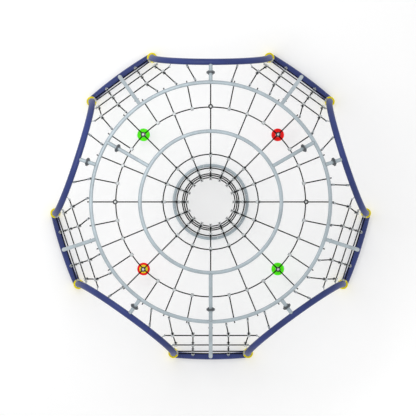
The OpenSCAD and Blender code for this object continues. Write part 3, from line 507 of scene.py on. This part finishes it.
def material(name, colour, dirt, rough, metal=0.0, coat=0.0, peel=200.0, grain=0.4, relief=0.15,
             patches=6.0, amount=0.5, spangle=0.0, splash=0.0, sheen=0.5, lay=False):
    """A finish: a base colour that varies, worn and dusty by the shared groups, with fine relief."""
    m = named_material(name)
    t = m.node_tree
    shader = t.nodes["Principled BSDF"]
    shader.inputs["Metallic"].default_value = metal
    shader.inputs["Coat Weight"].default_value = coat
    shader.inputs["Coat Roughness"].default_value = 0.12
    shader.inputs["Specular IOR Level"].default_value = sheen
    where = t.nodes.new("ShaderNodeTexCoord").outputs["Object"]

    def placed(group, **values):
        node = t.nodes.new("ShaderNodeGroup")
        node.node_tree = bpy.data.node_groups[group]
        t.links.new(where, node.inputs["Vector"])
        for label, value in values.items():
            node.inputs[label.replace("_", " ")].default_value = value
        return node.outputs[0]

    def mixed(fac, a, b):
        node = t.nodes.new("ShaderNodeMix")
        node.data_type = "RGBA"
        t.links.new(fac, node.inputs["Factor"])
        for i, value in ((6, a), (7, b)):
            if isinstance(value, tuple):
                node.inputs[i].default_value = value
            else:
                t.links.new(value, node.inputs[i])
        return node.outputs[2]

    weather = placed("Weather", Patch_Scale=patches, Amount=amount)
    shade = tuple(0.72 * c for c in colour[:3]) + (1,)
    tone = mixed(ramp_node(t, noise_node(t, where, patches * 0.6, 5), 0.3, 0.75), colour, shade)
    if spangle:
        cells = t.nodes.new("ShaderNodeTexVoronoi")
        cells.inputs["Scale"].default_value = spangle
        t.links.new(where, cells.inputs["Vector"])
        split = t.nodes.new("ShaderNodeSeparateColor")
        t.links.new(cells.outputs["Color"], split.inputs[0])
        bright = tuple(min(1, 1.12 * c) for c in colour[:3]) + (1,)
        tone = mixed(math_node(t, "MULTIPLY", split.outputs[0], 0.55), tone, bright)
    tone = mixed(weather, tone, dirt)
    if splash:
        near = placed("Splash", Height=splash)
        tone = mixed(math_node(t, "MULTIPLY", near, 0.35), tone, (0.42, 0.38, 0.32, 1))
    t.links.new(tone, shader.inputs["Base Color"])
    rougher = math_node(t, "ADD", math_node(t, "MULTIPLY", weather, 0.25), rough)
    t.links.new(rougher, shader.inputs["Roughness"])
    height = placed("Skin", Peel_Scale=peel, Grain=grain)
    if lay:
        along = t.nodes.new("ShaderNodeAttribute")
        along.attribute_name = "along"
        wave = t.nodes.new("ShaderNodeTexWave")
        wave.inputs["Scale"].default_value = 70.0
        wave.inputs["Distortion"].default_value = 1.5
        t.links.new(along.outputs["Fac"], wave.inputs["Vector"])
        height = math_node(t, "ADD", height, wave.outputs["Fac"])
    bump = t.nodes.new("ShaderNodeBump")
    bump.inputs["Strength"].default_value = relief
    bump.inputs["Distance"].default_value = 0.0015
    t.links.new(height, bump.inputs["Height"])
    t.links.new(bump.outputs["Normal"], shader.inputs["Normal"])
    return m


def colour_of(value):
    """A property's colour with full alpha."""
    return (*value[:3], 1.0)


def paint(node, material_name):
    """Gives one of the frame's own nodes a finish."""
    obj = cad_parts[node]
    obj.data.materials.clear()
    obj.data.materials.append(bpy.data.materials[material_name])


# ---- properties ----

class ClimberRope(bpy.types.PropertyGroup):
    """Sizes of the ropes."""
    diameter: bpy.props.FloatProperty(name="Diameter", description="Rope diameter", default=0.020,
                                      min=0.012, max=0.020, unit="LENGTH")
    lay: bpy.props.FloatProperty(name="Lay", description="Length of one turn of a strand", default=0.130,
                                 min=0.08, max=0.3, unit="LENGTH")
    step: bpy.props.FloatProperty(name="Step", description="Distance between a rope's sections",
                                  default=0.015, min=0.008, max=0.04, unit="LENGTH")


class ClimberClamp(bpy.types.PropertyGroup):
    """Sizes of the net's clamps."""
    width: bpy.props.FloatProperty(name="Width", description="Width across a clamp's arms", default=0.064,
                                   min=0.050, max=0.064, unit="LENGTH")


class ClimberColours(bpy.types.PropertyGroup):
    """Colours of the finishes, linear."""
    arch: bpy.props.FloatVectorProperty(name="Arches", description="Powder coat of the arches and rails",
                                        subtype="COLOR", size=3, default=(0.030, 0.048, 0.200))
    socket: bpy.props.FloatVectorProperty(name="Sockets", description="Plastic of the foot sockets",
                                          subtype="COLOR", size=3, default=(1.0, 0.84, 0.0))
    galvanised: bpy.props.FloatVectorProperty(name="Galvanised", description="Zinc on rings and posts",
                                              subtype="COLOR", size=3, default=(0.44, 0.51, 0.55))
    rope: bpy.props.FloatVectorProperty(name="Rope", description="Rope yarn", subtype="COLOR", size=3,
                                        default=(0.003, 0.003, 0.0035))
    green: bpy.props.FloatVectorProperty(name="Green disc", description="Green plastic", subtype="COLOR",
                                         size=3, default=(0.10, 1.0, 0.0))
    red: bpy.props.FloatVectorProperty(name="Red disc", description="Red plastic", subtype="COLOR",
                                       size=3, default=(1.0, 0.004, 0.004))
    yellow: bpy.props.FloatVectorProperty(name="Yellow disc", description="Yellow plastic",
                                          subtype="COLOR", size=3, default=(1.0, 0.75, 0.0))


# ---- operators ----

class CLIMBER_OT_finishes(bpy.types.Operator):
    """Makes the shader groups and every finish, and paints the frame's own nodes"""
    bl_idname = "climber.finishes"
    bl_label = "Finishes"

    def execute(self, context):
        for group in (weather_group, skin_group, ground_group):
            group()
        c = context.scene.climber_colours
        material("blue_powder_coat", colour_of(c.arch), (0.05, 0.07, 0.20, 1), 0.42, peel=260,
                 patches=3.5, amount=0.3, relief=0.10, splash=0.10, sheen=0.3)
        material("galvanised_zinc", colour_of(c.galvanised), (0.30, 0.34, 0.37, 1), 0.42, metal=0.35,
                 peel=120, patches=5, amount=0.5, spangle=110, relief=0.10)
        material("dark_flange", (0.09, 0.105, 0.12, 1), (0.2, 0.2, 0.2, 1), 0.5, metal=0.3, peel=160)
        material("zinc_bolt", (0.16, 0.17, 0.18, 1), (0.08, 0.07, 0.06, 1), 0.35, metal=0.8, peel=400,
                 patches=30)
        material("yellow_plastic", colour_of(c.socket), (0.95, 0.74, 0.0, 1), 0.40, peel=320,
                 patches=8, amount=0.3, sheen=0.2)
        material("laid_rope", colour_of(c.rope), (0.008, 0.008, 0.007, 1), 0.85, peel=700, patches=12,
                 amount=0.5, relief=0.5, sheen=0.1, lay=True)
        material("cast_aluminium", (0.60, 0.63, 0.64, 1), (0.30, 0.31, 0.31, 1), 0.45, metal=0.35,
                 peel=500, patches=25, relief=0.25)
        material("pressed_ferrule", (0.42, 0.45, 0.47, 1), (0.22, 0.23, 0.24, 1), 0.38, metal=0.6,
                 peel=420, patches=20)
        material("black_rubber", (0.012, 0.012, 0.013, 1), (0.05, 0.05, 0.05, 1), 0.62, peel=600,
                 patches=20)
        material("black_plastic", (0.018, 0.018, 0.020, 1), (0.06, 0.06, 0.06, 1), 0.45, peel=500,
                 patches=20)
        material("white_cap", (0.80, 0.82, 0.82, 1), (0.5, 0.5, 0.48, 1), 0.35, coat=0.2, peel=300)
        material("weld_metal", (0.34, 0.39, 0.42, 1), (0.2, 0.2, 0.2, 1), 0.5, metal=0.5, peel=300,
                 patches=30)
        material("blue_weld", colour_of(c.arch), (0.05, 0.07, 0.18, 1), 0.42, peel=300, sheen=0.3)
        for name in ("green", "red", "yellow"):
            tint = colour_of(getattr(c, name))
            worn = tuple(0.85 * v + 0.01 for v in tint[:3]) + (1,)
            material(name + "_disc_plastic", tint, worn, 0.35, peel=300, patches=18, amount=0.4,
                     sheen=0.25)
        finish = {"base_rails": "blue_powder_coat", "foot_sockets": "yellow_plastic",
                  "flanges": "dark_flange", "node_rings": "black_rubber",
                  "hanger_clamps": "cast_aluminium", "rope_feet": "pressed_ferrule"}
        finish.update({"arch_%d" % i: "blue_powder_coat" for i in range(1, SIDES + 1)})
        for name in ("outer_ring", "ring_splices", "top_ring", "ground_ring", "arch_stubs",
                     "outer_ring_stubs", "spokes", "posts", "post_spigots"):
            finish[name] = "galvanised_zinc"
        for name in ("socket_screws", "flange_bolts", "flange_nuts", "post_bolts", "hanger_pins"):
            finish[name] = "zinc_bolt"
        for name in ("top_ring_holders", "outer_ring_holders", "panel_holders", "row_holders"):
            finish[name] = "pressed_ferrule"
        for name in SWINGS:
            finish["link_" + name] = "galvanised_zinc"
            finish["fork_" + name] = "galvanised_zinc"
            finish["stop_" + name] = "black_plastic"
        for node, name in finish.items():
            paint(node, name)
        return {"FINISHED"}


class CLIMBER_OT_hanging_ropes(bpy.types.Operator):
    """Makes the four hanging ropes, each on its own swinging body, from ferrule to stop"""
    bl_idname = "climber.hanging_ropes"
    bl_label = "Hanging ropes"

    def execute(self, context):
        for name, angle in SWINGS.items():
            centre = turned([[DOME_RING_R, 0, 0]], angle)[0]
            z = np.linspace(ROPE_TOP, ROPE_BOTTOM, 81)
            path = np.column_stack([np.full(81, centre[0]), np.full(81, centre[1]), z])
            build = Build()
            lay_rope(build, path, [1, 0, 0])
            piece = build.piece("hanging_rope_" + name, "swing_" + name, "rope",
                                named_material("laid_rope"), ["rope_" + name])
        return {"FINISHED"}


class CLIMBER_OT_net(bpy.types.Operator):
    """Lays the ropes of the dome, the funnel and the side panels"""
    bl_idname = "climber.net"
    bl_label = "Rope net"

    def execute(self, context):
        rope = context.scene.climber_rope
        yarn = bpy.data.materials["laid_rope"]
        bend, step = 0.06, rope.step
        build = Build()
        side = np.array([0, 1.0, 0])
        for i in range(MERIDIANS):
            angle = i * 360 / MERIDIANS
            chain = MERIDIAN.copy()
            if angle in SPOKES:
                chain[0] = DOME_NODE - DOME_DIR * TAIL
            path = turned(rounded(in_plane(chain), bend, step), angle)
            lay_rope(build, path, turned([side], angle)[0])
        build.piece("meridian_rope_net", "frame", "rope", yarn, ["meridian_ropes"])
        build = Build()
        for i in range(MERIDIANS):
            angle = (i + 0.5) * 360 / MERIDIANS
            ends = in_plane([MERIDIAN[0], DOME_NODE + DOME_DIR * TAIL])
            lay_rope(build, turned(resampled(ends, step), angle), turned([side], angle)[0])
        build.piece("dome_rope_net", "frame", "rope", yarn, ["dome_ropes"])
        build = Build()
        lay_rope(build, circle_path(DOME_RING[0], DOME_RING[1], step), [0, 0, 1], True)
        build.piece("dome_ring_rope", "frame", "rope", yarn, ["dome_rope_ring"])
        build = Build()
        for r, z in FUNNEL:
            lay_rope(build, circle_path(r, z, step), [0, 0, 1], True)
        build.piece("funnel_ring_ropes", "frame", "rope", yarn, ["funnel_rope_rings"])
        build = Build()
        for turn in PANEL_TURNS:
            for v, z in ROWS:
                u = row_end(z)
                path = turned(resampled(np.array([[-u, v, z], [u, v, z]]), step), turn)
                lay_rope(build, path, [0, 0, 1])
        build.piece("panel_row_ropes", "frame", "rope", yarn, ["panel_rows"])
        build = Build()
        for turn in PANEL_TURNS:
            for k in range(len(DROPS)):
                path = turned(flip_u(rounded(drop_line(k)[1], bend, step)), turn)
                lay_rope(build, path, turned([[1, 0, 0]], turn)[0])
        build.piece("panel_drop_ropes", "frame", "rope", yarn, ["panel_drops"])
        build = Build()
        for turn in ARCH_TURNS:
            for k in range(len(TIES)):
                path = turned(flip_u(resampled(tie_line(k), step)), turn)
                lay_rope(build, path, [0, 0, 1])
        build.piece("arch_tie_ropes", "frame", "rope", yarn, ["arch_ties"])
        return {"FINISHED"}


class CLIMBER_OT_clamps(bpy.types.Operator):
    """Sets a moulded cross clamp on every crossing of the net"""
    bl_idname = "climber.clamps"
    bl_label = "Cross clamps"

    def execute(self, context):
        cast = bpy.data.materials["cast_aluminium"]
        build = Build()
        for i in range(2 * MERIDIANS):
            angle = i * 180 / MERIDIANS
            if angle not in SWINGS.values():
                p, q = turned(in_plane([DOME_NODE, DOME_RING]), angle)
                clamp(build, p, q, CLAMP_NEAR)
        build.piece("dome_cross_clamps", "frame", "clamp", cast, ["dome_clamps"])
        build = Build()
        for i in range(MERIDIANS):
            for node, ring in zip(FUNNEL_NODES, FUNNEL):
                p, q = turned(in_plane([node, ring]), i * 360 / MERIDIANS)
                clamp(build, p, q, CLAMP_NEAR)
        build.piece("funnel_cross_clamps", "frame", "clamp", cast, ["funnel_clamps"])
        build = Build()
        for turn in PANEL_TURNS:
            for k in range(len(DROPS)):
                for node, row in zip(drop_line(k)[0], ROWS):
                    p, q = turned(flip_u([node, [node[0], *row]]), turn)
                    clamp(build, p, q, BEND_NEAR)
        build.piece("panel_cross_clamps", "frame", "clamp", cast, ["panel_clamps"])
        return {"FINISHED"}


class CLIMBER_OT_discs(bpy.types.Operator):
    """Turns the moulded swing discs, with grip rings round the top and a flared hub below"""
    bl_idname = "climber.discs"
    bl_label = "Swing discs"

    def execute(self, context):
        bore = 0.0103
        for name, angle in SWINGS.items():
            centre = turned([[DOME_RING_R, 0, 0]], angle)[0]
            tint = "green" if name in ("nw", "se") else "red"
            r, z1, z0 = 0.101, DISC_TOP, DISC_TOP - DISC_T
            a = np.linspace(math.pi / 2, -math.pi / 2, 17)
            rim = np.column_stack([r - 0.016 + 0.016 * np.cos(a), (z0 + z1) / 2 + 0.016 * np.sin(a)])
            s = np.linspace(0.020, r - 0.018, 40)
            top = np.column_stack([s, z1 - 0.0022 + 0.0020 * np.cos((s - 0.020) / 0.0098 * 2 * math.pi)])
            hub = np.array([[0.046, z0], [0.040, z0 - 0.006], [0.033, z0 - 0.018], [0.028, z0 - HUB_H],
                            [bore, z0 - HUB_H], [bore, z1]])
            shape = np.array([[bore, z1], [0.016, z1], *top, *rim, [0.080, z0], *hub])
            build = Build()
            build.grid(revolved(shape, centre)[::-1], False, True)
            build.piece("moulded_disc_" + name, "swing_" + name, tint + "_disc",
                        named_material(tint + "_disc_plastic"), ["disc_" + name])
        centre = turned([[DOME_RING_R, 0, 0]], SWINGS["sw"])[0]
        z0, z1, r = DISC_TOP + 0.0003, DISC_TOP + 0.0343, 0.067
        a = np.linspace(math.pi / 2, -math.pi / 2, 13)
        rim = np.column_stack([r - 0.014 + 0.014 * np.cos(a), (z0 + z1) / 2 + 0.0168 * np.sin(a)])
        s = np.linspace(0.018, r - 0.016, 25)
        top = np.column_stack([s, z1 - 0.0018 + 0.0016 * np.cos((s - 0.018) / 0.0083 * 2 * math.pi)])
        shape = np.array([[bore, z1], [0.014, z1], *top, *rim, [bore, z0], [bore, z1]])
        build = Build()
        build.grid(revolved(shape, centre)[::-1], False, True)
        build.piece("moulded_top_disc", "swing_sw", "yellow_disc", named_material("yellow_disc_plastic"),
                    ["top_disc_sw"])
        return {"FINISHED"}


class CLIMBER_OT_node_caps(bpy.types.Operator):
    """Sets a domed light cap in the middle of each black ring of the dome"""
    bl_idname = "climber.node_caps"
    bl_label = "Node caps"

    def execute(self, context):
        build = Build()
        high = -(0.010 + CLAMP_NEAR + PLATE + 0.0005)
        for angle in range(0, 360, 45):
            if angle in SPOKES:
                continue
            p, q = turned(in_plane([DOME_NODE, DOME_RING]), angle)
            x, y, d = frame_at(p, q)
            a = np.arange(32) * math.pi / 16
            b = np.linspace(0.03, math.pi / 2, 8)
            out, up = 0.019 * np.sin(b), 0.011 * np.cos(b)
            cap = (p + out[:, None, None] * (np.cos(a)[None, :, None] * x + np.sin(a)[None, :, None] * y)
                   + (high - up)[:, None, None] * d)
            build.grid(cap, False, True, True)
        build.piece("node_ring_caps", "frame", "clamp", bpy.data.materials["white_cap"])
        return {"FINISHED"}


class CLIMBER_OT_welds(bpy.types.Operator):
    """Runs a weld bead round each stub on the rings and each post on its rail"""
    bl_idname = "climber.welds"
    bl_label = "Weld beads"

    def execute(self, context):
        build, blue = Build(), Build()
        spoke = unit(in_plane([TOP_RING - OUTER_RING])[0])
        tangent = np.array([0, 1.0, 0])
        for angle in SPOKES:
            for at, way in ((OUTER_RING, spoke), (TOP_RING, -spoke)):
                start, direction, along = turned([in_plane([at])[0], way, tangent], angle)
                weld(build, start, direction, along, RING_TUBE_R, RING_TUBE_R + 0.0004)
        crown = arch_point(math.pi / 2)
        arch_way = unit(in_plane([crown - OUTER_RING])[0])
        for i in range(SIDES):
            start, direction, along = turned([in_plane([OUTER_RING])[0], arch_way, tangent], 18 + 72 * i)
            weld(build, start, direction, along, RING_TUBE_R, RING_TUBE_R + 0.0004)
            start, direction, along = turned([in_plane([crown])[0], -arch_way, tangent], 18 + 72 * i)
            weld(build, start, direction, along, RING_TUBE_R, ARCH_TUBE_R + 0.0004)
            start, direction, along = turned([[RAIL_MID_R, 0, ARCH_TUBE_R], [0, 0, 1], tangent],
                                             FIRST_PANEL + 72 * i)
            weld(blue, start, direction, along, RING_TUBE_R, ARCH_TUBE_R + 0.0004)
        build.piece("ring_welds", "frame", "galvanised", bpy.data.materials["weld_metal"])
        blue.piece("rail_welds", "frame", "galvanised", bpy.data.materials["weld_metal"])
        return {"FINISHED"}


class CLIMBER_OT_stage(bpy.types.Operator):
    """Lays the pale floor and sets the soft light and the camera straight above"""
    bl_idname = "climber.stage"
    bl_label = "Stage"

    def execute(self, context):
        scene = context.scene
        half = 30.0
        mesh = bpy.data.meshes.new("floor")
        mesh.from_pydata([(-half, -half, -0.002), (half, -half, -0.002), (half, half, -0.002),
                          (-half, half, -0.002)], [], [(0, 1, 2, 3)])
        floor = bpy.data.objects.new("floor", mesh)
        scene.collection.objects.link(floor)
        m = named_material("pale_floor")
        shader = m.node_tree.nodes["Principled BSDF"]
        shader.inputs["Base Color"].default_value = (0.74, 0.74, 0.74, 1)
        shader.inputs["Roughness"].default_value = 0.9
        shader.inputs["Specular IOR Level"].default_value = 0.1
        shader.inputs["Emission Color"].default_value = (1, 1, 1, 1)
        shader.inputs["Emission Strength"].default_value = 0.28
        mesh.materials.append(m)
        world = bpy.data.worlds.new("sky")
        world.use_nodes = True
        world.node_tree.nodes["Background"].inputs[0].default_value = (1, 1, 1, 1)
        world.node_tree.nodes["Background"].inputs[1].default_value = 0.88
        scene.world = world
        for name, place, size, power in (("key", (-2.5, 2.0, 7.0), 4.5, 175),
                                         ("fill", (4.5, -4.0, 5.0), 5, 70)):
            light = bpy.data.lights.new(name, "AREA")
            light.size, light.energy = size, power
            lamp = bpy.data.objects.new(name, light)
            d = -np.array(place, float)
            lamp.location = place
            lamp.rotation_euler = (math.atan2(math.hypot(d[0], d[1]), -d[2]), 0, math.atan2(d[0], -d[1]))
            scene.collection.objects.link(lamp)
        cam = bpy.data.cameras.new("camera")
        cam.type = "ORTHO"
        cam.ortho_scale = ORTHO_WIDTH
        cam.clip_end = 100
        eye = bpy.data.objects.new("camera", cam)
        eye.location = (*CENTRE_OFF, 12)
        scene.collection.objects.link(eye)
        scene.camera = eye
        scene.view_settings.view_transform = "Standard"
        return {"FINISHED"}


class CLIMBER_PT_panel(bpy.types.Panel):
    """Lists the climber's builders and sizes"""
    bl_idname = "CLIMBER_PT_panel"
    bl_label = "Dome climber"
    bl_space_type = "VIEW_3D"
    bl_region_type = "UI"
    bl_category = "Climber"

    def draw(self, context):
        scene = context.scene
        for group in (scene.climber_rope, scene.climber_clamp, scene.climber_colours):
            for name in group.__annotations__:
                self.layout.prop(group, name)
        for operator in OPERATORS:
            self.layout.operator(operator.bl_idname)


OPERATORS = (CLIMBER_OT_stage, CLIMBER_OT_discs, CLIMBER_OT_hanging_ropes, CLIMBER_OT_finishes,
             CLIMBER_OT_net, CLIMBER_OT_clamps, CLIMBER_OT_node_caps, CLIMBER_OT_welds)
GROUPS = {"climber_rope": ClimberRope, "climber_clamp": ClimberClamp, "climber_colours": ClimberColours}


def register():
    for cls in (*GROUPS.values(), *OPERATORS, CLIMBER_PT_panel):
        bpy.utils.register_class(cls)
    for name, cls in GROUPS.items():
        setattr(bpy.types.Scene, name, bpy.props.PointerProperty(type=cls))


def unregister():
    for name in GROUPS:
        delattr(bpy.types.Scene, name)
    for cls in reversed((*GROUPS.values(), *OPERATORS, CLIMBER_PT_panel)):
        bpy.utils.unregister_class(cls)


def main():
    register()
    bpy.ops.climber.stage()
    bpy.ops.climber.discs()
    bpy.ops.climber.hanging_ropes()
    bpy.ops.climber.finishes()
    bpy.ops.climber.net()
    bpy.ops.climber.clamps()
    bpy.ops.climber.node_caps()
    bpy.ops.climber.welds()


if __name__ == "__main__":
    main()
